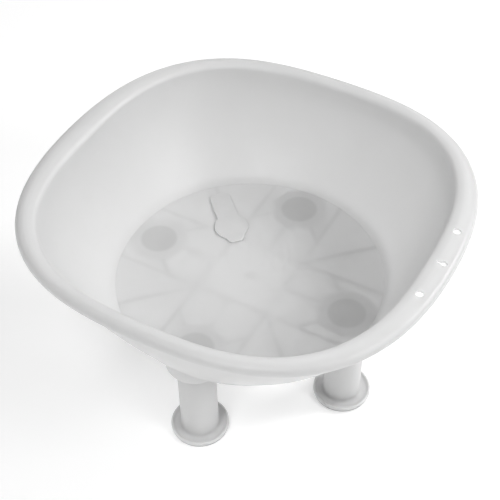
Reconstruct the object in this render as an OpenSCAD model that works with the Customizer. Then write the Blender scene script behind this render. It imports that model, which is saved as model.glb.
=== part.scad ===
// Raised pet bathtub: a round-floored bowl with a rounded-square rolled rim, standing on
// four push-in legs, with a strap-held drain plug and three hanging holes in the rim.
// Millimetres, +Z up. The origin is on the ground under the middle of the floor,
// +X points at the side of the rim with the hanging holes.

/* [Tub] */
// Radius of the flat floor, at its crease with the wall
floor_r = 180; // [170:1:190]
// Height of the floor's top above the ground
floor_z = 163; // [150:1:180]
// Thickness of the floor
floor_t = 4; // [3:0.5:5]
// Thickness of the wall and of the rim flange
wall_t = 3; // [2.5:0.5:5]
// Rise of the rim's crown above the floor
rim_rise = 152.5; // [130:0.5:175]
// How far the wall bellies outward: 0 is a straight cone
wall_bulge = 0.77; // [0:0.01:0.9]

/* [Rim] */
// Mean radius of the rim's inner edge
rim_mean_r = 252.5; // [245:0.5:262]
// How square the rim's inner edge is in plan
rim_square = 12; // [0:0.5:16]
// Mean width of the rim flange
flange_w = 26.5; // [22:0.5:30]
// Extra flange width on the hanging side and its opposite side
flange_swing = 6; // [0:0.5:8]
// Height of the flange's crown over its two edges
flange_crown = 2.8; // [0:0.1:3]
// Depth of the rolled outer edge below the rim's crown
lip_depth = 13.5; // [13.5:0.5:18]
// Radius of the rim's inner rounding
rim_inner_round = 8; // [4:0.5:9]
// Radius of the rim's outer rounding
rim_outer_round = 8.5; // [4:0.5:9]

/* [Hanging holes] */
// Distance of the keyhole's round head from the middle of the tub
hang_x = 261; // [258:0.5:263]
// Radius of the two round hanging holes
hang_r = 5; // [3:0.25:5.5]
// Sideways distance of each round hole from the keyhole
hang_pitch = 57; // [45:1:65]
// Radius of the keyhole's head
key_head_r = 4; // [3:0.25:5]
// Width of the keyhole's slot
key_slot_w = 4; // [3:0.25:5]

/* [Legs] */
// Radius of the circle through the four legs
leg_circle_r = 144; // [140:0.5:146]
// Outer radius of a leg
leg_r = 25.5; // [22:0.5:28]
// Wall of a leg
leg_wall = 3; // [2:0.5:4]
// Radius of a leg's foot flange
foot_r = 39.5; // [35:0.5:42]
// Height of the foot flange's rolled edge above the ground
foot_h = 8.5; // [7:0.5:11]
// Thickness of the rubber pad under each foot
pad_t = 3; // [2:0.5:4]
// Outer radius of a leg socket
socket_r = 39; // [34:0.5:40]
// Depth of a leg socket below the floor
socket_depth = 23; // [18:1:30]
// Radial clearance of a leg in its socket
socket_clear = 0.05; // [0.02:0.01:0.1]

/* [Drain] */
// Distance of the drain from the middle of the floor
drain_along = 94; // [85:1:98]
// Radius of the drain hole
drain_r = 16; // [13:0.5:17]
// Length of the drain spout below the floor
spout_len = 12; // [9:0.5:20]
// Radius of the plug's disc
plug_r = 23.5; // [21:0.5:25]
// Thickness of the plug's disc
plug_t = 3; // [2.5:0.25:4]
// Depth of the plug's tapered stopper below the floor's top
stopper_depth = 8; // [6:0.5:9]
// Half the width of the plug's strap
strap_half_w = 15; // [10:0.5:16]
// Thickness of the plug's strap
strap_t = 2.2; // [1.6:0.1:2.5]

/* [Ribs] */
// Distance of the straight floor ribs from the middle
rib_offset = 52; // [45:1:60]
// Thickness of a floor rib
rib_t = 2.5; // [1.5:0.5:4]
// Depth of a floor rib below the floor
rib_h = 8; // [5:0.5:12]

/* [Hidden] */
$fn = 64;
eps = 0.01;
overlap = 1;

// Directions of the four legs, and of the drain, about +Z
right = 0;
back = 90;
left = 180;
front = 270;
drain_dir = 135;

// Heights that several pieces share
floor_under = floor_z - floor_t;
rim_top = floor_z + rim_rise;
socket_bottom = floor_under - socket_depth;

// Shell section
shell_steps = 72;
corner_steps = 4;
flange_ripple = 1.5;
lip_round = 3.5;
crease_r = 2;
floor_ring = floor_r - 2 * crease_r;
wall_skew = 1.15;
rim_corner_level = 0.985;
under_lip_fillet = 1;
under_fillet = 4;
base_r = 190;
base_round = 9;
base_ring = base_r - 2 * base_round;
inner_levels = [0.05, 0.13, 0.23, 0.34, 0.46, 0.59, 0.72, 0.86];
outer_levels = [0.9, 0.79, 0.67, 0.54, 0.41, 0.28, 0.17, 0.08];
crown_shares = [0.35, 0.5, 0.6];
under_shares = [0.65, 0.35];

// Plug and its strap
hinge_along = 133;
anchor_along = 149.5;
plug_gap = 0.2;
hinge_gap = 0.6;
tab_reach = 31;
tab_half_w = 9;
stud_r = 4;
stud_clear = 0.05;
stud_head_r = 8;
stud_head_t = 2.5;
stopper_top_r = drain_r - 0.4;
stopper_low_r = drain_r - 1.8;
plug_edge = 1;
spout_wall = 3;

// Fits and small roundings
top_gap = 0.3;
trim_gap = 0.2;
brace_back = 47;
hole_reach = 9;
gate_r = 6;
gate_h = 3;
socket_round = 5;
socket_wall = 3;
foot_round = 2;
foot_fillet = 4;
foot_dish_z = 6.5;
pad_spigot_h = 6;
pad_edge = 1;

plastic = [0.88, 0.89, 0.90];
plastic_shade = [0.80, 0.81, 0.83];
silicone = [0.82, 0.84, 0.85];
rubber = [0.62, 0.64, 0.66];

// ---- shell section: radius and height at each step of the turn ----

// Inner edge of the rim in direction a
function rim_edge(a) = rim_mean_r - rim_square * cos(4 * a);

// Outer edge of the rim in direction a
function rim_outer(a) =
    rim_edge(a) + flange_w + flange_swing * cos(2 * a) + flange_ripple * cos(4 * a);

// Radius of the inside of the wall at level t: 0 is the floor, 1 is the rim
function wall_in(a, t) =
    floor_r + (rim_edge(a) - floor_r) * (t + wall_bulge * t * (1 - t));

// The matching point on the outside of the wall
function wall_out(a, t) = wall_in(a, t) + wall_t * wall_skew;

// Points that round the corner q, between its neighbours p and s, to a radius
function round_corner(p, q, s, radius) =
    let (u = (p - q) / norm(p - q))
    let (v = (s - q) / norm(s - q))
    let (half = acos(u * v) / 2)
    let (centre = q + (u + v) / norm(u + v) * radius / sin(half))
    let (from = q + u * radius / tan(half) - centre)
    let (turn = (180 - 2 * half) * sign(cross(from, v)))
    [for (k = [0:corner_steps])
        let (w = turn * k / corner_steps)
        centre + [from[0] * cos(w) - from[1] * sin(w), from[0] * sin(w) + from[1] * cos(w)]];

function point(corner) = [corner[0], corner[1]];

// An outline through corners given as radius, height and rounding, each one rounded
function rounded(corners) =
    [for (i = [0:len(corners) - 1])
        each corners[i][2] == 0
            ? [point(corners[i])]
            : round_corner(
                point(corners[i - 1]), point(corners[i]), point(corners[i + 1]), corners[i][2]
            )];

// Corners along a surface that crowns over z between two radii
function crowned(r0, r1, z, shares) =
    [for (u = shares) [r0 + (r1 - r0) * u, z + flange_crown * (1 - pow(2 * u - 1, 2)), 0]];

// The shell's section in direction a, from the floor's top over the rim to the floor's underside
function section(a) =
    let (outer = rim_outer(a))
    let (lip_in = outer - 2 * lip_round)
    let (top = rim_top - flange_crown)
    let (under = top - wall_t)
    let (lip_z = rim_top - lip_depth)
    rounded(concat(
        [[floor_ring, floor_z, 0], [floor_r, floor_z, crease_r]],
        [for (t = inner_levels) [wall_in(a, t), floor_z + rim_rise * t, 0]],
        [[wall_in(a, rim_corner_level), top, rim_inner_round]],
        crowned(rim_edge(a), outer, top, crown_shares),
        [[outer, top, rim_outer_round], [outer, lip_z, lip_round - eps]],
        [[lip_in, lip_z, lip_round - eps], [lip_in, under, under_lip_fillet]],
        crowned(wall_out(a, 1), lip_in, under, under_shares),
        [[wall_out(a, 1), under, under_fillet]],
        [for (t = outer_levels) [wall_out(a, t), floor_z + rim_rise * t, 0]],
        [[base_r, floor_under, base_round], [base_ring, floor_under, 0]]
    ));

section_n = len(section(0));

function shell_points() = concat(
    [for (i = [0:shell_steps - 1])
        let (a = i * 360 / shell_steps)
        for (p = section(a)) [p[0] * cos(a), p[0] * sin(a), p[1]]],
    [[0, 0, floor_z], [0, 0, floor_under]]
);

function shell_faces() =
    let (n = section_n)
    let (top = shell_steps * n)
    let (low = top + 1)
    concat(
        [for (i = [0:shell_steps - 1])
            let (j = (i + 1) % shell_steps)
            for (k = [0:n - 2])
                each [
                    [i * n + k, i * n + k + 1, j * n + k + 1],
                    [i * n + k, j * n + k + 1, j * n + k]
                ]],
        [for (i = [0:shell_steps - 1]) [top, i * n, ((i + 1) % shell_steps) * n]],
        [for (i = [0:shell_steps - 1])
            [low, ((i + 1) % shell_steps) * n + n - 1, i * n + n - 1]]
    );

// ---- shared shapes ----

module at_leg(dir) {
    rotate([0, 0, dir])
        translate([leg_circle_r, 0, 0])
            children();
}

module along_drain(distance, z) {
    rotate([0, 0, drain_dir])
        translate([distance, 0, z])
            children();
}

// ---- the tub and what is fixed to it ----

module hanging_holes() {
    hole_z = rim_top - hole_reach;
    hole_h = hole_reach + overlap;
    for (side = [-1, 1])
        translate([sqrt(hang_x * hang_x - hang_pitch * hang_pitch), side * hang_pitch, hole_z])
            cylinder(h = hole_h, r = hang_r);
    translate([hang_x, 0, hole_z])
        cylinder(h = hole_h, r = key_head_r);
    translate([hang_x - key_head_r - key_slot_w, -key_slot_w / 2, hole_z])
        cube([key_head_r + key_slot_w, key_slot_w, hole_h]);
    translate([hang_x - key_head_r - key_slot_w, 0, hole_z])
        cylinder(h = hole_h, r = key_slot_w / 2);
}

module tub_shell() {
    color(plastic)
        difference() {
            polyhedron(points = shell_points(), faces = shell_faces(), convexity = 6);
            hanging_holes();
            along_drain(drain_along, floor_under - overlap)
                cylinder(h = floor_t + 2 * overlap, r = drain_r);
            along_drain(anchor_along, floor_under - overlap)
                cylinder(h = floor_t + 2 * overlap, r = stud_r + stud_clear);
        }
}

// One straight rib, its top against the floor's underside
module rib(length) {
    translate([0, -rib_t / 2, floor_under - rib_h])
        cube([length, rib_t, rib_h]);
}

module floor_ribs() {
    color(plastic_shade)
        difference() {
            intersection() {
                union() {
                    for (dir = [right, back, left, front])
                        rotate([0, 0, dir]) {
                            translate([-floor_r, rib_offset, 0])
                                rib(2 * floor_r);
                            translate([rib_offset, 0, 0])
                                rib(leg_circle_r - rib_offset);
                            translate([rib_offset, rib_offset, 0])
                                rotate([0, 0, 45])
                                    rib(floor_r);
                            for (side = [-1, 1])
                                translate([leg_circle_r - brace_back, side * rib_offset, 0])
                                    rotate([0, 0, -side * 45])
                                        rib(rib_offset);
                        }
                    translate([0, 0, floor_under - gate_h])
                        cylinder(h = gate_h, r = gate_r);
                }
                translate([0, 0, floor_under - rib_h])
                    cylinder(h = rib_h, r = base_r - base_round - rib_t);
            }
            for (dir = [right, back, left, front])
                at_leg(dir)
                    translate([0, 0, floor_under - rib_h - overlap])
                        cylinder(h = rib_h + 2 * overlap, r = socket_r + trim_gap);
            along_drain(drain_along, floor_under - rib_h - overlap)
                cylinder(h = rib_h + 2 * overlap, r = drain_r + spout_wall + trim_gap);
            along_drain(anchor_along, floor_under - rib_h - overlap)
                cylinder(h = rib_h + 2 * overlap, r = stud_head_r + trim_gap);
        }
}

module drain_spout() {
    color(plastic_shade)
        along_drain(drain_along, floor_under - spout_len)
            difference() {
                cylinder(h = spout_len, r = drain_r + spout_wall);
                translate([0, 0, -overlap])
                    cylinder(h = spout_len + 2 * overlap, r = drain_r);
            }
}

// A cored cup: outer skirt, bottom plate and the sleeve that the leg pushes into
module leg_socket(dir) {
    sleeve_r = leg_r + socket_clear;
    color(plastic)
        at_leg(dir)
            translate([0, 0, socket_bottom])
                rotate_extrude()
                    difference() {
                        union() {
                            translate([sleeve_r, 0])
                                square([socket_r - socket_round - sleeve_r, socket_depth]);
                            translate([socket_r - socket_round, socket_round])
                                circle(r = socket_round);
                            translate([sleeve_r, socket_round])
                                square([socket_r - sleeve_r, socket_depth - socket_round]);
                        }
                        translate([sleeve_r + socket_wall, socket_wall])
                            square([
                                socket_r - sleeve_r - 2 * socket_wall,
                                socket_depth
                            ]);
                    }
}

// ---- the legs ----

// One moulding: straight hollow tube, fillet, dished foot flange with a rolled edge
module leg(dir) {
    top = floor_under - top_gap;
    fillet_x = leg_r + foot_fillet;
    fillet_z = foot_dish_z + foot_fillet;
    dish_r = foot_r - 2 * foot_round;
    color(plastic)
        at_leg(dir)
            rotate_extrude()
                difference() {
                    union() {
                        square([leg_r, top]);
                        translate([0, pad_t])
                            square([fillet_x, fillet_z - pad_t]);
                        translate([0, pad_t])
                            square([dish_r, foot_dish_z - pad_t]);
                        translate([0, pad_t])
                            square([foot_r, foot_h - foot_round - pad_t]);
                        translate([foot_r - foot_round, foot_h - foot_round])
                            circle(r = foot_round);
                    }
                    translate([fillet_x, fillet_z])
                        circle(r = foot_fillet);
                    square([leg_r - leg_wall, top - leg_wall]);
                    translate([0, -overlap])
                        square([foot_r + overlap, pad_t + overlap]);
                }
}

module foot_pad(dir) {
    color(rubber)
        at_leg(dir)
            union() {
                cylinder(h = pad_t, r = foot_r - pad_edge);
                translate([0, 0, pad_t])
                    cylinder(h = pad_spigot_h, r = leg_r - leg_wall - trim_gap);
            }
}

// ---- the drain plug ----

// Outline of the strap between two distances along the drain's direction
module strap(from, to) {
    translate([from, -strap_half_w, 0])
        cube([to - from, 2 * strap_half_w, strap_t]);
}

module drain_plug() {
    base = floor_z + plug_gap;
    color(silicone)
        along_drain(0, base) {
            translate([drain_along, 0, 0]) {
                cylinder(h = plug_t - plug_edge, r = plug_r);
                translate([0, 0, plug_t - plug_edge])
                    cylinder(h = plug_edge, r1 = plug_r, r2 = plug_r - plug_edge);
                translate([0, 0, -stopper_depth])
                    cylinder(h = stopper_depth + eps, r1 = stopper_low_r, r2 = stopper_top_r);
            }
            translate([drain_along - tab_reach + tab_half_w, 0, 0])
                cylinder(h = strap_t, r = tab_half_w);
            translate([drain_along - tab_reach + tab_half_w, -tab_half_w, 0])
                cube([tab_reach - tab_half_w, 2 * tab_half_w, strap_t]);
            strap(drain_along, hinge_along);
            translate([hinge_along, strap_half_w, strap_t / 2])
                rotate([90, 0, 0])
                    cylinder(h = 2 * strap_half_w, r = strap_t / 2);
        }
}

module plug_anchor() {
    pad_start = hinge_along + strap_t / 2 + hinge_gap;
    color(silicone) {
        along_drain(0, floor_z) {
            strap(pad_start, anchor_along);
            translate([anchor_along, 0, 0])
                intersection() {
                    cylinder(h = strap_t, r = strap_half_w);
                    translate([-overlap, -strap_half_w, 0])
                        cube([strap_half_w + overlap, 2 * strap_half_w, strap_t]);
                }
        }
        along_drain(anchor_along, floor_under - eps)
            cylinder(h = floor_t + overlap, r = stud_r);
        along_drain(anchor_along, floor_under - stud_head_t)
            cylinder(h = stud_head_t, r = stud_head_r);
    }
}

// ---- nodes ----

tub_shell();
floor_ribs();
drain_spout();
plug_anchor();
drain_plug();
leg_socket(right);  // socket_right
leg_socket(back);  // socket_back
leg_socket(left);  // socket_left
leg_socket(front);  // socket_front
leg(right);  // leg_right
leg(back);  // leg_back
leg(left);  // leg_left
leg(front);  // leg_front
foot_pad(right);  // foot_pad_right
foot_pad(back);  // foot_pad_back
foot_pad(left);  // foot_pad_left
foot_pad(front);  // foot_pad_front
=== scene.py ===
"""Looks of the raised pet bathtub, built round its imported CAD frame."""
import math

import bmesh
import bpy
from mathutils import Matrix, Vector


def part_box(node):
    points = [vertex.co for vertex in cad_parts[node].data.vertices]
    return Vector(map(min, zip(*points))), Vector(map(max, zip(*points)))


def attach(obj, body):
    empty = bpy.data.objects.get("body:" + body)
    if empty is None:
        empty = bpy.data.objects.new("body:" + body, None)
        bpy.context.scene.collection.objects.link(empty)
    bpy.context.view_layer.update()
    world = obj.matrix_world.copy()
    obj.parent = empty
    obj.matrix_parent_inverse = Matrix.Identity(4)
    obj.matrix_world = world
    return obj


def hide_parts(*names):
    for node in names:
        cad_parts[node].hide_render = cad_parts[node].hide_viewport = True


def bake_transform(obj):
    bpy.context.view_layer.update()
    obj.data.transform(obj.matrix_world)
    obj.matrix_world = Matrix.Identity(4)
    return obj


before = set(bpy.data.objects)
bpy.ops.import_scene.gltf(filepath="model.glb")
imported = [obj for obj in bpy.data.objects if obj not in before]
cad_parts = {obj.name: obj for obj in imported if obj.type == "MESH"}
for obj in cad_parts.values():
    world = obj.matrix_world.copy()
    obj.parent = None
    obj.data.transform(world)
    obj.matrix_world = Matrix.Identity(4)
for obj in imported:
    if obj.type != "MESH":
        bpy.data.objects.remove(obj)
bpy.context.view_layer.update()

# ---------------------------------------------------------------- sizes, in metres

MM = 0.001
FLOOR_R = 180 * MM
FLOOR_T = 4 * MM
WALL_T = 3 * MM
RIM_RISE = 152.5 * MM
WALL_BULGE = 0.77
WALL_SKEW = 1.15

RIM_MEAN_R = 252.5 * MM
RIM_SQUARE = 12 * MM
FLANGE_W = 26.5 * MM
FLANGE_SWING = 6 * MM
FLANGE_RIPPLE = 1.5 * MM
FLANGE_CROWN = 2.8 * MM
LIP_DEPTH = 13.5 * MM
RIM_INNER_ROUND = 8 * MM
RIM_OUTER_ROUND = 8.5 * MM
LIP_HALF_W = 3.5 * MM
LIP_ROUND = 3.4 * MM
UNDER_FILLET = 4 * MM
CREASE_ROUND = 2 * MM
BASE_R = 184 * MM
BASE_ROUND = 5 * MM
HOLE_FLARE = 0.3 * MM

HANG_X = 261 * MM
HANG_R = 5 * MM
HANG_PITCH = 57 * MM
KEY_HEAD_R = 4 * MM
KEY_SLOT_W = 4 * MM
KEY_SLOT_END = 253 * MM

LEG_CIRCLE_R = 144 * MM
LEG_R = 25.5 * MM
LEG_WALL = 3 * MM
FOOT_R = 39.5 * MM
FOOT_H = 8.5 * MM
FOOT_DISH_R = 34.5 * MM
FOOT_DISH_Z = 6.4 * MM
FOOT_ROLL_R = 37.2 * MM
PAD_T = 3 * MM
PAD_SPIGOT_TOP = 9 * MM
SOCKET_R = 39 * MM
SOCKET_WALL = 3 * MM
RIB_OFFSET = 52 * MM
BRACE_REACH = 149 * MM

DRAIN_ALONG = 94 * MM
DRAIN_R = 16 * MM
SPOUT_WALL = 3 * MM
PLUG_R = 23.5 * MM
PLUG_T = 3 * MM
PLUG_GAP = 0.2 * MM
STOPPER_DEPTH = 8 * MM
STRAP_HALF_W = 15 * MM
STRAP_T = 2.2 * MM
STRAP_END = 164 * MM
TAB_END = 64 * MM
TAB_HALF_W = 9 * MM
HINGE_ALONG = 133 * MM
ANCHOR_ALONG = 149.5 * MM
BEND_CUTS_HALF = 12 * MM
SILICONE_DEPTH = 3 * MM
STUD_R = 4 * MM
STUD_HEAD_R = 8 * MM

# The frame gives the heights: the floor's underside is the sockets' top, the rim is the box's top
FLOOR_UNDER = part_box("socket_front")[1].z
FLOOR_Z = FLOOR_UNDER + FLOOR_T
RIM_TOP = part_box("tub_shell")[1].z
SOCKET_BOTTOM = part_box("socket_front")[0].z
LEG_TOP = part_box("leg_front")[1].z
SPOUT_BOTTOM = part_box("drain_spout")[0].z

TURN_STEPS = 288
LATHE_STEPS = 128
SHARP_ANGLE = math.radians(38)
MERGE_DISTANCE = 0.0001 * MM
NEAR_AXIS = 0.01 * MM
SIDES = {"right": 0, "back": 90, "left": 180, "front": 270}
DRAIN_DIRECTION = math.radians(135)

# How much a painted shade darkens the floor's top over a leg's closed end and over a rib, where they block
# the light coming through the floor from below, and the two distances from the tub's middle between which
# the ribs' share grows from none to full
LEG_SHADE = 0.12
RIB_SHADE = 0.035
RIB_SHADE_NONE = 60 * MM
RIB_SHADE_FULL = 150 * MM


# ---------------------------------------------------------------- outlines


def rounded(corners, steps=6):
    """An open outline through corners (x, y, radius), each rounded to its radius."""
    points = []
    for i, (x, y, radius) in enumerate(corners):
        here = Vector((x, y))
        if radius == 0 or i in (0, len(corners) - 1):
            points.append(here)
            continue
        back = Vector(corners[i - 1][:2]) - here
        ahead = Vector(corners[i + 1][:2]) - here
        half = back.angle(ahead) / 2
        reach = min(radius / math.tan(half), 0.98 * back.length, 0.98 * ahead.length)
        back.normalize()
        ahead.normalize()
        centre = here + (back + ahead).normalized() * (reach / math.cos(half))
        start = here + back * reach - centre
        turn = start.angle_signed(here + ahead * reach - centre)
        for k in range(steps + 1):
            points.append(centre + Matrix.Rotation(-turn * k / steps, 2) @ start)
    return points


def arc(centre, radius, start, end, steps):
    """Points on an arc in degrees, both ends included."""
    turns = [math.radians(start + (end - start) * k / steps) for k in range(steps + 1)]
    return [Vector((centre[0] + radius * math.cos(t), centre[1] + radius * math.sin(t))) for t in turns]


def spread(start, end, count):
    """Evenly spaced values, both ends included."""
    return [start + (end - start) * k / (count - 1) for k in range(count)]


# ---------------------------------------------------------------- the tub's section


def rim_edge(a):
    return RIM_MEAN_R - RIM_SQUARE * math.cos(4 * a)


def rim_outer(a):
    return rim_edge(a) + FLANGE_W + FLANGE_SWING * math.cos(2 * a) + FLANGE_RIPPLE * math.cos(4 * a)


def wall_in(a, level):
    return FLOOR_R + (rim_edge(a) - FLOOR_R) * (level + WALL_BULGE * level * (1 - level))


def wall_out(a, level):
    return wall_in(a, level) + WALL_T * WALL_SKEW


def crowned(start, end, edge_z, shares):
    """Points of a flange surface that crowns between two radii."""
    return [(start + (end - start) * u, edge_z + FLANGE_CROWN * (1 - (2 * u - 1) ** 2), 0) for u in shares]


def tub_section(a):
    """The tub's wall in direction a, from the floor's middle over the rim to the underside's middle."""
    outer = rim_outer(a)
    lip_in = outer - 2 * LIP_HALF_W
    top = RIM_TOP - FLANGE_CROWN
    under = top - WALL_T
    inner_levels = spread(0.035, 0.93, 24)
    outer_levels = spread(0.92, 0.06, 23)
    floor_rings = spread(20 * MM, FLOOR_R - 6 * MM, 7)
    corners = [(r, FLOOR_Z, 0) for r in floor_rings]
    corners += [(FLOOR_R, FLOOR_Z, CREASE_ROUND)]
    corners += [(wall_in(a, t), FLOOR_Z + RIM_RISE * t, 0) for t in inner_levels]
    corners += [(wall_in(a, 0.985), top, RIM_INNER_ROUND)]
    corners += crowned(rim_edge(a), outer, top, spread(0.35, 0.6, 5))
    corners += [(outer, top, RIM_OUTER_ROUND)]
    corners += [(outer, RIM_TOP - LIP_DEPTH, LIP_ROUND), (lip_in, RIM_TOP - LIP_DEPTH, LIP_ROUND)]
    corners += [(lip_in, under, 1 * MM)]
    corners += crowned(lip_in, wall_out(a, 1), under, spread(0.35, 0.65, 3))
    corners += [(wall_out(a, 1), under, UNDER_FILLET)]
    corners += [(wall_out(a, t), FLOOR_Z + RIM_RISE * t, 0) for t in outer_levels]
    corners += [(BASE_R, FLOOR_UNDER, BASE_ROUND)]
    corners += [(r, FLOOR_UNDER, 0) for r in reversed(floor_rings)]
    return rounded(corners)


# ---------------------------------------------------------------- meshes


def new_object(name, verts, faces):
    """An object whose faces all point the same way, outward where it is closed, as a cut needs."""
    mesh = bpy.data.meshes.new(name)
    mesh.from_pydata([tuple(v) for v in verts], [], faces)
    mesh.validate()
    bm = bmesh.new()
    bm.from_mesh(mesh)
    bmesh.ops.recalc_face_normals(bm, faces=bm.faces)
    bm.to_mesh(mesh)
    bm.free()
    obj = bpy.data.objects.new(name, mesh)
    bpy.context.scene.collection.objects.link(obj)
    return obj


def smooth(obj, angle=SHARP_ANGLE):
    """Smooth shading that keeps every edge sharper than angle, on a mesh cleared of faces without area."""
    bm = bmesh.new()
    bm.from_mesh(obj.data)
    bmesh.ops.dissolve_degenerate(bm, dist=MERGE_DISTANCE, edges=bm.edges)
    bmesh.ops.recalc_face_normals(bm, faces=bm.faces)
    for face in bm.faces:
        face.smooth = True
    for edge in bm.edges:
        edge.smooth = len(edge.link_faces) == 2 and edge.calc_face_angle(0) < angle
    bm.to_mesh(obj.data)
    bm.free()
    return obj


def rings_to_mesh(name, rings, closed_ends=True):
    """A skin over rings of equal length; each end is closed by a fan to its middle."""
    n = len(rings[0])
    verts = [p for ring in rings for p in ring]
    faces = []
    for i in range(len(rings) - 1):
        for k in range(n):
            j = (k + 1) % n
            faces.append((i * n + k, i * n + j, (i + 1) * n + j, (i + 1) * n + k))
    if closed_ends:
        for ring, first in ((rings[0], 0), (rings[-1], (len(rings) - 1) * n)):
            middle = sum((Vector(p) for p in ring), Vector((0, 0, 0))) / n
            verts.append(middle)
            faces += [(len(verts) - 1, first + k, first + (k + 1) % n) for k in range(n)]
    return new_object(name, verts, faces)


def turned(name, outline, x=0.0, y=0.0, steps=LATHE_STEPS):
    """A solid of revolution of an open outline (radius, height), closed at both ends on its axis."""
    rings = []
    for p in outline:
        radius = max(p[0], NEAR_AXIS)
        turns = [math.tau * k / steps for k in range(steps)]
        rings.append([Vector((x + radius * math.cos(t), y + radius * math.sin(t), p[1])) for t in turns])
    return smooth(rings_to_mesh(name, rings))


def turned_ring(name, outline, x=0.0, y=0.0, steps=LATHE_STEPS):
    """A ring: a closed outline (radius, height) turned about the axis through x, y."""
    n = len(outline)
    verts = []
    faces = []
    for k in range(steps):
        c, s = math.cos(math.tau * k / steps), math.sin(math.tau * k / steps)
        verts += [(x + p[0] * c, y + p[0] * s, p[1]) for p in outline]
        j = (k + 1) % steps
        faces += [(k * n + i, k * n + (i + 1) % n, j * n + (i + 1) % n, j * n + i) for i in range(n)]
    return smooth(new_object(name, verts, faces))


def cutter(outline_at, levels):
    """A tool that cuts a hole: outline_at(offset) at each (height, offset)."""
    rings = [[Vector((p[0], p[1], z)) for p in outline_at(offset)] for z, offset in levels]
    return rings_to_mesh("cutter", rings)


def cut(obj, tools):
    """Cuts the tools out of the object and removes them."""
    for tool in tools:
        modifier = obj.modifiers.new("cut", "BOOLEAN")
        modifier.operation = "DIFFERENCE"
        modifier.solver = "EXACT"
        modifier.object = tool
    graph = bpy.context.evaluated_depsgraph_get()
    mesh = bpy.data.meshes.new_from_object(obj.evaluated_get(graph))
    obj.modifiers.clear()
    obj.data = mesh
    for tool in tools:
        bpy.data.objects.remove(tool)
    return obj


# ---------------------------------------------------------------- pieces


def drain_point(along, across=0.0):
    """A point on the floor, along the drain's diagonal and across it."""
    c, s = math.cos(DRAIN_DIRECTION), math.sin(DRAIN_DIRECTION)
    return along * c - across * s, along * s + across * c


def leg_centre(side):
    turn = math.radians(SIDES[side])
    return LEG_CIRCLE_R * math.cos(turn), LEG_CIRCLE_R * math.sin(turn)


def round_hole(x, y, radius, top, bottom, flare):
    """A drilled hole with softly rounded edges at two heights."""
    def outline(offset):
        return arc((x, y), radius + offset, 0, 360 * (1 - 1 / 48), 47)

    levels = flared_levels(top, bottom, flare)
    return cutter(outline, levels)


def flared_levels(top, bottom, flare):
    """Heights and offsets of a hole's wall: wide above and below, rounded over at each face."""
    quarter = spread(0, math.pi / 2, 5)
    upper = [(top - flare + flare * math.sin(q), flare * (1 - math.cos(q))) for q in quarter]
    lower = [(bottom + flare - flare * math.sin(q), flare * (1 - math.cos(q))) for q in quarter]
    beyond = 6 * MM
    return [(bottom - beyond, flare)] + lower[::-1] + upper + [(top + beyond, flare)]


def keyhole(top, bottom, flare):
    """The keyhole: a round head with a narrow slot towards the basin."""
    def outline(offset):
        head = KEY_HEAD_R + offset
        half = KEY_SLOT_W / 2 + offset
        meet = math.degrees(math.asin(half / head))
        round_head = arc((HANG_X, 0), head, -180 + meet, 180 - meet, 36)
        return round_head + arc((KEY_SLOT_END, 0), half, 90, 270, 12)

    return cutter(outline, flared_levels(top, bottom, flare))


def make_tub():
    """The bowl, with its rolled rim, hanging holes, drain hole and anchor hole."""
    rings = []
    sections = [tub_section(math.tau * k / TURN_STEPS) for k in range(TURN_STEPS)]
    for i in range(len(sections[0])):
        ring = []
        for k, section in enumerate(sections):
            a = math.tau * k / TURN_STEPS
            ring.append(Vector((section[i].x * math.cos(a), section[i].x * math.sin(a), section[i].y)))
        rings.append(ring)
    tub = rings_to_mesh("tub_moulding", rings)
    flange_top = RIM_TOP - 0.1 * MM
    flange_under = RIM_TOP - WALL_T - 0.55 * MM
    hang_x = math.sqrt(HANG_X ** 2 - HANG_PITCH ** 2)
    tools = []
    for side in (-1, 1):
        tools.append(round_hole(hang_x, side * HANG_PITCH, HANG_R, flange_top, flange_under, HOLE_FLARE))
    tools.append(keyhole(flange_top, flange_under, HOLE_FLARE))
    for along, radius in ((DRAIN_ALONG, DRAIN_R), (ANCHOR_ALONG, STUD_R)):
        tools.append(round_hole(*drain_point(along), radius, FLOOR_Z, FLOOR_UNDER, HOLE_FLARE))
    return smooth(cut(tub, tools))


def make_leg(side):
    """A hollow leg with its dished foot flange, one moulding."""
    x, y = leg_centre(side)
    inner = LEG_R - LEG_WALL
    outline = rounded([
        (0, LEG_TOP, 0),
        (LEG_R, LEG_TOP, 1.2 * MM),
        (LEG_R, 6.6 * MM, 4 * MM),
        (FOOT_DISH_R, FOOT_DISH_Z, 5 * MM),
        (FOOT_ROLL_R, FOOT_H, 1.8 * MM),
        (FOOT_R, FOOT_H, 1.6 * MM),
        (FOOT_R, PAD_T + 0.1 * MM, 1 * MM),
        (inner, PAD_T + 0.1 * MM, 0.6 * MM),
        (inner, LEG_TOP - LEG_WALL, 2 * MM),
        (0, LEG_TOP - LEG_WALL, 0),
    ])
    return turned(f"leg_moulding_{side}", outline, x, y)


def make_pad(side):
    """A rubber foot pad, with concentric grip grooves on its underside."""
    x, y = leg_centre(side)
    radius = FOOT_R - 0.9 * MM
    spigot = LEG_R - LEG_WALL - 0.2 * MM
    corners = [(0, PAD_SPIGOT_TOP, 0), (spigot, PAD_SPIGOT_TOP, 1 * MM), (spigot, PAD_T, 0.3 * MM)]
    corners += [(radius, PAD_T, 0.5 * MM), (radius, 0, 1.1 * MM)]
    for groove in (35, 30, 25, 20):
        depth = 1.0 * MM
        corners += [((groove + 1) * MM, 0, 0.3 * MM), ((groove + 0.6) * MM, depth, 0.3 * MM)]
        corners += [((groove - 0.6) * MM, depth, 0.3 * MM), ((groove - 1) * MM, 0, 0.3 * MM)]
    corners += [(0, 0, 0)]
    return turned(f"pad_rubber_{side}", rounded(corners, 3), x, y)


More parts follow.
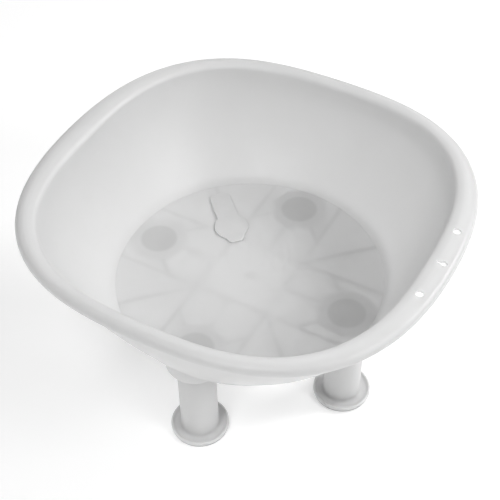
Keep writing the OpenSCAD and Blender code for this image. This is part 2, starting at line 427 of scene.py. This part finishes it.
def make_socket(side):
    """A cored socket cup under the floor."""
    x, y = leg_centre(side)
    bore = LEG_R + 0.05 * MM
    wall = SOCKET_WALL
    low, top = SOCKET_BOTTOM, FLOOR_UNDER
    outline = rounded([
        (bore + wall, low + wall + 4 * MM, 0),
        (bore + wall, top, 0.01 * MM),
        (bore, top, 0.01 * MM),
        (bore, low, 0.8 * MM),
        (SOCKET_R, low, 5 * MM),
        (SOCKET_R, top, 0.01 * MM),
        (SOCKET_R - wall, top, 0.01 * MM),
        (SOCKET_R - wall, low + wall, 1 * MM),
        (bore + wall, low + wall, 1 * MM),
        (bore + wall, low + wall + 4 * MM, 0),
    ])[:-1]
    return turned_ring(f"socket_cup_{side}", outline, x, y)


def make_spout():
    """The short drain spout under the floor."""
    x, y = drain_point(DRAIN_ALONG)
    outer = DRAIN_R + SPOUT_WALL
    outline = rounded([
        (DRAIN_R, FLOOR_UNDER - 5 * MM, 0),
        (DRAIN_R, SPOUT_BOTTOM, 0.8 * MM),
        (outer, SPOUT_BOTTOM, 1.2 * MM),
        (outer, FLOOR_UNDER, 0.01 * MM),
        (DRAIN_R, FLOOR_UNDER, 0.01 * MM),
        (DRAIN_R, FLOOR_UNDER - 5 * MM, 0),
    ])[:-1]
    return turned_ring("spout_tube", outline, x, y)


def plug_outline():
    """The plug seen from above, along and across the drain's diagonal: tab, disc and strap in one line."""
    corners = [
        (TAB_END, 0, 0),
        (TAB_END, TAB_HALF_W + 0.5 * MM, 7 * MM),
        (DRAIN_ALONG - 21.4 * MM, TAB_HALF_W + 3.5 * MM, 9 * MM),
    ]
    half = rounded(corners + [(DRAIN_ALONG - 16.6 * MM, 16.8 * MM, 0)], 10)[:-1]
    half += arc((DRAIN_ALONG, 0), PLUG_R, 133, 50, 26)
    neck = [
        (DRAIN_ALONG + PLUG_R * math.cos(math.radians(49)), PLUG_R * math.sin(math.radians(49)), 0),
        (DRAIN_ALONG + 19.5 * MM, STRAP_HALF_W - 0.4 * MM, 4 * MM),
        (HINGE_ALONG, STRAP_HALF_W, 0),
        (STRAP_END, STRAP_HALF_W, 11 * MM),
        (STRAP_END, 0, 0),
    ]
    half += rounded(neck, 10)
    return half + [Vector((p.x, -p.y)) for p in reversed(half[1:-1])]


def make_plug():
    """The flat of the silicone plug: disc, finger tab and strap."""
    outline = plug_outline()
    bottom = FLOOR_Z + PLUG_GAP
    round_over = 0.7 * MM
    middle = Vector((sum(p.x for p in outline), sum(p.y for p in outline))) / len(outline)
    edge = outline[1] - outline[-1]
    inward = 1 if Vector((-edge.y, edge.x)).dot(middle - outline[0]) > 0 else -1

    def ring(inset, z):
        points = []
        count = len(outline)
        for i, p in enumerate(outline):
            edge = outline[(i + 1) % count] - outline[i - 1]
            normal = Vector((-edge.y, edge.x)).normalized()
            q = p + normal * inset * inward
            points.append(Vector((*drain_point(q.x, q.y), z)))
        return points

    rings = [ring(0.25 * MM, bottom), ring(0, bottom + 0.25 * MM)]
    for q in spread(0, math.pi / 2, 6):
        inset = round_over * (1 - math.cos(q))
        rings.append(ring(inset, bottom + STRAP_T - round_over + round_over * math.sin(q)))
    plug = rings_to_mesh("drain_plug_strap", rings, closed_ends=False)
    bm = bmesh.new()
    bm.from_mesh(plug.data)
    n = len(outline)
    bm.verts.ensure_lookup_table()
    bm.faces.new([bm.verts[i] for i in range(n)])
    bm.faces.new([bm.verts[(len(rings) - 1) * n + i] for i in range(n)])
    across = Vector((*drain_point(1, 0), 0))
    for along in spread(HINGE_ALONG - BEND_CUTS_HALF, HINGE_ALONG + BEND_CUTS_HALF, 17):
        geometry = bm.verts[:] + bm.edges[:] + bm.faces[:]
        bmesh.ops.bisect_plane(bm, geom=geometry, plane_co=across * along, plane_no=across)
    bm.to_mesh(plug.data)
    bm.free()
    return smooth(plug)


def make_plug_disc():
    """The disc's low dome and the tapered stopper under it."""
    x, y = drain_point(DRAIN_ALONG)
    bottom = FLOOR_Z + PLUG_GAP
    dome_r = PLUG_R - 1 * MM
    dome_h = PLUG_T - STRAP_T
    sunk = 0.1 * MM
    dome_z = bottom + STRAP_T - sunk
    dome = [(r, dome_z + dome_h * (1 - (r / dome_r) ** 2), 0) for r in spread(0, dome_r, 12)]
    outline = rounded(dome + [
        (DRAIN_R - 0.4 * MM, bottom + 0.4 * MM, 0),
        (DRAIN_R - 0.5 * MM, bottom, 0.3 * MM),
        (DRAIN_R - 1.8 * MM, bottom - STOPPER_DEPTH, 1.4 * MM),
        (DRAIN_R - 5 * MM, bottom - STOPPER_DEPTH, 1 * MM),
        (DRAIN_R - 6 * MM, bottom - STOPPER_DEPTH + 5 * MM, 1 * MM),
        (0, bottom - STOPPER_DEPTH + 5 * MM, 0),
    ])
    return turned("plug_stopper", outline, x, y)


def make_stud():
    """The push-in stud that holds the strap's far end."""
    x, y = drain_point(ANCHOR_ALONG)
    outline = rounded([
        (0, FLOOR_Z + 1.2 * MM, 0),
        (STUD_R, FLOOR_Z + 1.2 * MM, 0.2 * MM),
        (STUD_R, FLOOR_UNDER, 0.2 * MM),
        (STUD_HEAD_R, FLOOR_UNDER - 0.05 * MM, 0.5 * MM),
        (STUD_R, FLOOR_UNDER - 2.5 * MM, 1 * MM),
        (0, FLOOR_UNDER - 2.5 * MM, 0),
    ])
    return turned("strap_stud", outline, x, y)


# ---------------------------------------------------------------- materials


class Nodes:
    """A short way to write a material's node tree."""

    def __init__(self, name):
        self.material = bpy.data.materials.new(name)
        self.material.use_nodes = True
        self.tree = self.material.node_tree
        self.shader = self.tree.nodes["Principled BSDF"]
        self.place = self.tree.nodes.new("ShaderNodeTexCoord").outputs["Object"]

    def feed(self, socket, value):
        if isinstance(value, bpy.types.NodeSocket):
            self.tree.links.new(value, socket)
        else:
            socket.default_value = value

    def math(self, operation, a, b=0.0, c=0.0):
        node = self.tree.nodes.new("ShaderNodeMath")
        node.operation = operation
        for socket, value in zip(node.inputs, (a, b, c)):
            self.feed(socket, value)
        return node.outputs[0]

    def length(self, a, b):
        """The length of a plane vector."""
        squares = self.math("ADD", self.math("MULTIPLY", a, a), self.math("MULTIPLY", b, b))
        return self.math("SQRT", squares)

    def fade(self, value, near, far):
        """1 at near, 0 at far, smooth between."""
        node = self.tree.nodes.new("ShaderNodeMapRange")
        node.interpolation_type = "SMOOTHERSTEP"
        self.feed(node.inputs["Value"], value)
        node.inputs["From Min"].default_value = near
        node.inputs["From Max"].default_value = far
        node.inputs["To Min"].default_value = 1
        node.inputs["To Max"].default_value = 0
        return node.outputs["Result"]

    def noise(self, scale, detail=3.0, stretch=(1, 1, 1), roughness=0.5):
        mapping = self.tree.nodes.new("ShaderNodeMapping")
        mapping.inputs["Scale"].default_value = stretch
        self.feed(mapping.inputs["Vector"], self.place)
        node = self.tree.nodes.new("ShaderNodeTexNoise")
        self.feed(node.inputs["Vector"], mapping.outputs["Vector"])
        node.inputs["Scale"].default_value = scale
        node.inputs["Detail"].default_value = detail
        node.inputs["Roughness"].default_value = roughness
        return node.outputs["Fac"]

    def between(self, factor, low, high):
        """A value from low to high as factor goes from 0 to 1."""
        return self.math("MULTIPLY_ADD", factor, high - low, low)

    def grey(self, value):
        node = self.tree.nodes.new("ShaderNodeCombineColor")
        for socket in node.inputs[:3]:
            self.feed(socket, value)
        return node.outputs[0]

    def bump(self, height, strength, distance, normal=None):
        node = self.tree.nodes.new("ShaderNodeBump")
        node.inputs["Strength"].default_value = strength
        node.inputs["Distance"].default_value = distance
        self.feed(node.inputs["Height"], height)
        if normal is not None:
            self.feed(node.inputs["Normal"], normal)
        return node.outputs["Normal"]

    def axes(self):
        node = self.tree.nodes.new("ShaderNodeSeparateXYZ")
        self.feed(node.inputs[0], self.place)
        return node.outputs


def moulded_plastic(name, tone, roughness, depth, shade=None):
    """Satin moulded plastic with faint flow marks and fine grain, translucent to the given depth; a shade,
    if given, is a painted shade multiplied into its colour.
    """
    n = Nodes(name)
    flow = n.noise(7, 3, (1, 1, 0.35))
    cloud = n.noise(28, 4)
    grain = n.noise(1600, 2)
    rubbed = n.noise(60, 6, (1, 1, 0.08), 0.7)
    level = n.between(flow, tone - 0.018, tone + 0.018)
    level = n.math("ADD", level, n.between(cloud, -0.008, 0.008))
    # painted shade: the colour is darkened where the shade function says
    if shade:
        level = n.math("MULTIPLY", level, shade(n))
    n.feed(n.shader.inputs["Base Color"], n.grey(level))
    gloss = n.between(rubbed, roughness - 0.07, roughness + 0.07)
    n.feed(n.shader.inputs["Roughness"], n.math("ADD", gloss, n.between(cloud, -0.03, 0.03)))
    fine = n.bump(grain, 0.12, 0.0002)
    n.feed(n.shader.inputs["Normal"], n.bump(flow, 0.25, 0.0015, fine))
    n.shader.inputs["IOR"].default_value = 1.49
    n.shader.inputs["Specular IOR Level"].default_value = 0.4
    n.shader.inputs["Subsurface Weight"].default_value = 1
    n.shader.inputs["Subsurface Radius"].default_value = (depth,) * 3
    n.shader.inputs["Subsurface Scale"].default_value = 1
    return n.material


def painted_shade_through_floor(n):
    """A painted shade on the floor's top over the closed ends of the legs and over the ribs, where they
    block the light that comes through the translucent floor from below; it adds to the shade that the real
    translucency gives.
    """
    x, y, z = n.axes()[:3]
    ax, ay = n.math("ABSOLUTE", x), n.math("ABSOLUTE", y)
    along, across = n.math("MAXIMUM", ax, ay), n.math("MINIMUM", ax, ay)
    off_leg = n.math("SUBTRACT", along, LEG_CIRCLE_R)
    reach = n.length(off_leg, across)
    over_leg = n.fade(reach, LEG_R - 4 * MM, LEG_R + 3 * MM)
    clear_of_socket = n.math("SUBTRACT", 1, n.fade(reach, SOCKET_R - 1 * MM, SOCKET_R + 3 * MM))
    over_rib = n.math("MULTIPLY", rib_nearness(n, along, across), clear_of_socket)
    grown = n.math("SUBTRACT", 1, n.fade(n.length(x, y), RIB_SHADE_NONE, RIB_SHADE_FULL))
    over_rib = n.math("MULTIPLY", over_rib, grown)
    on_floor = n.fade(n.math("ABSOLUTE", n.math("SUBTRACT", z, FLOOR_Z)), 0.2 * MM, 0.6 * MM)
    shade = n.math("MULTIPLY_ADD", over_leg, -LEG_SHADE, n.math("MULTIPLY", over_rib, -RIB_SHADE))
    return n.math("MULTIPLY_ADD", shade, on_floor, 1)


def rib_nearness(n, along, across):
    """1 over a rib and 0 away from it; along and across are the larger and the smaller of |x| and |y|."""
    diagonal = math.sqrt(0.5)
    chord_a = n.math("ABSOLUTE", n.math("SUBTRACT", along, RIB_OFFSET))
    chord_b = n.math("ABSOLUTE", n.math("SUBTRACT", across, RIB_OFFSET))
    axial = n.math("MAXIMUM", across, n.math("SUBTRACT", RIB_OFFSET, along))
    corner = n.math("MULTIPLY", n.math("SUBTRACT", along, across), diagonal)
    corner = n.math("MAXIMUM", corner, n.math("SUBTRACT", RIB_OFFSET, across))
    brace = n.math("ABSOLUTE", n.math("SUBTRACT", n.math("ADD", along, across), BRACE_REACH))
    brace = n.math("MAXIMUM", n.math("MULTIPLY", brace, diagonal), n.math("SUBTRACT", across, RIB_OFFSET))
    nearest = chord_a
    for other in (chord_b, axial, corner, brace):
        nearest = n.math("MINIMUM", nearest, other)
    return n.fade(nearest, 0.8 * MM, 5 * MM)


def silicone():
    """Soft matt silicone, slightly translucent."""
    n = Nodes("plug_silicone")
    cloud = n.noise(90, 4)
    grain = n.noise(2600, 2)
    n.feed(n.shader.inputs["Base Color"], n.grey(n.between(cloud, 0.61, 0.65)))
    n.feed(n.shader.inputs["Roughness"], n.between(cloud, 0.45, 0.58))
    n.feed(n.shader.inputs["Normal"], n.bump(grain, 0.15, 0.0002))
    n.shader.inputs["Subsurface Weight"].default_value = 0.3
    n.shader.inputs["Subsurface Radius"].default_value = (SILICONE_DEPTH,) * 3
    n.shader.inputs["Subsurface Scale"].default_value = 1
    return n.material


def foot_rubber():
    """Matt rubber with a fine pebbled skin and dusty wear."""
    n = Nodes("foot_rubber")
    cloud = n.noise(45, 5)
    pebble = n.noise(1100, 2)
    n.feed(n.shader.inputs["Base Color"], n.grey(n.between(cloud, 0.40, 0.50)))
    n.feed(n.shader.inputs["Roughness"], n.between(cloud, 0.68, 0.85))
    n.feed(n.shader.inputs["Normal"], n.bump(pebble, 0.35, 0.0003))
    return n.material


def studio_floor():
    n = Nodes("studio_floor")
    cloud = n.noise(2.5, 3)
    n.feed(n.shader.inputs["Base Color"], n.grey(n.between(cloud, 0.79, 0.81)))
    n.shader.inputs["Roughness"].default_value = 0.9
    n.shader.inputs["Emission Color"].default_value = (1, 1, 1, 1)
    n.shader.inputs["Emission Strength"].default_value = 0.34
    return n.material


def paint(obj, material):
    obj.data.materials.clear()
    obj.data.materials.append(material)
    return obj


# ---------------------------------------------------------------- build

# the bowl's colour carries a painted shade over the legs and ribs under its floor
plastic = moulded_plastic("tub_plastic", 0.62, 0.40, 8.5 * MM, painted_shade_through_floor)
leg_finish = moulded_plastic("leg_plastic", 0.66, 0.42, 6 * MM)
under_finish = moulded_plastic("under_plastic", 0.74, 0.45, 6 * MM)
soft_finish = silicone()
rubber_finish = foot_rubber()

tub = paint(make_tub(), plastic)
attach(tub, "tub")
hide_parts("tub_shell")

for side in SIDES:
    socket = paint(make_socket(side), under_finish)
    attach(socket, "tub")
    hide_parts(f"socket_{side}")
    leg = paint(make_leg(side), leg_finish)
    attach(leg, f"{side}_leg")
    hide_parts(f"leg_{side}")
    pad = paint(make_pad(side), rubber_finish)
    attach(pad, f"{side}_leg")
    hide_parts(f"foot_pad_{side}")

spout = paint(make_spout(), under_finish)
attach(spout, "tub")
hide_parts("drain_spout")

plug = paint(make_plug(), soft_finish)
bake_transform(plug)
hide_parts("drain_plug", "plug_anchor")
stopper = paint(make_plug_disc(), soft_finish)
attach(stopper, "plug")
stud = paint(make_stud(), soft_finish)
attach(stud, "tub")

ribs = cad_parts["floor_ribs"]
paint(ribs, under_finish)

# ---------------------------------------------------------------- studio

bpy.ops.mesh.primitive_plane_add(size=14, location=(0, 0, -0.5 * MM))
ground = paint(bpy.context.object, studio_floor())
ground.name = "studio_floor"

world = bpy.data.worlds.new("studio")
bpy.context.scene.world = world
world.use_nodes = True
world.node_tree.nodes["Background"].inputs["Color"].default_value = (1, 1, 1, 1)
world.node_tree.nodes["Background"].inputs["Strength"].default_value = 0.06


def round_softbox(azimuth, height, power):
    """A round softbox aimed at the tub, at a direction and a height angle in degrees."""
    light = bpy.data.lights.new(f"softbox_{azimuth}_{height}", "AREA")
    light.shape = "DISK"
    light.size = SOFTBOX_SIZE
    light.energy = power
    obj = bpy.data.objects.new(light.name, light)
    bpy.context.scene.collection.objects.link(obj)
    turn, lift = math.radians(azimuth), math.radians(height)
    away = Vector((math.cos(lift) * math.cos(turn), math.cos(lift) * math.sin(turn), math.sin(lift)))
    obj.location = SOFTBOX_AIM + away * SOFTBOX_DISTANCE
    obj.rotation_euler = (-away).to_track_quat("-Z", "Y").to_euler()


SOFTBOX_AIM = Vector((0, 0, 0.2))
SOFTBOX_SIZE = 1.0
SOFTBOX_DISTANCE = 3.0
# Direction and height angle in degrees, power in watts
SOFTBOXES = (
    (45, 35, 40),
    (-90, 60, 32),
    (0, 35, 25),
    (90, 35, 14),
    (-90, 35, 12),
    (0, 60, 6),
    (135, 12, 8),
    (-135, 35, 7),
)
for azimuth, height, power in SOFTBOXES:
    round_softbox(azimuth, height, power)

CAMERA_PLACE = Vector((0.5126, -0.8914, 1.2703))
CAMERA_AIM = Vector((0.0007, 0.0004, 0.2102))
CAMERA_ROLL = math.radians(-1.11)
CAMERA_LENS = 81.02
camera_data = bpy.data.cameras.new("camera")
camera_data.lens = CAMERA_LENS
camera = bpy.data.objects.new("camera", camera_data)
bpy.context.scene.collection.objects.link(camera)
camera.location = CAMERA_PLACE
look = (CAMERA_AIM - CAMERA_PLACE).to_track_quat("-Z", "Y").to_matrix()
camera.rotation_euler = (look @ Matrix.Rotation(CAMERA_ROLL, 3, "Z")).to_euler()
bpy.context.scene.camera = camera
bpy.context.scene.view_settings.view_transform = "Standard"
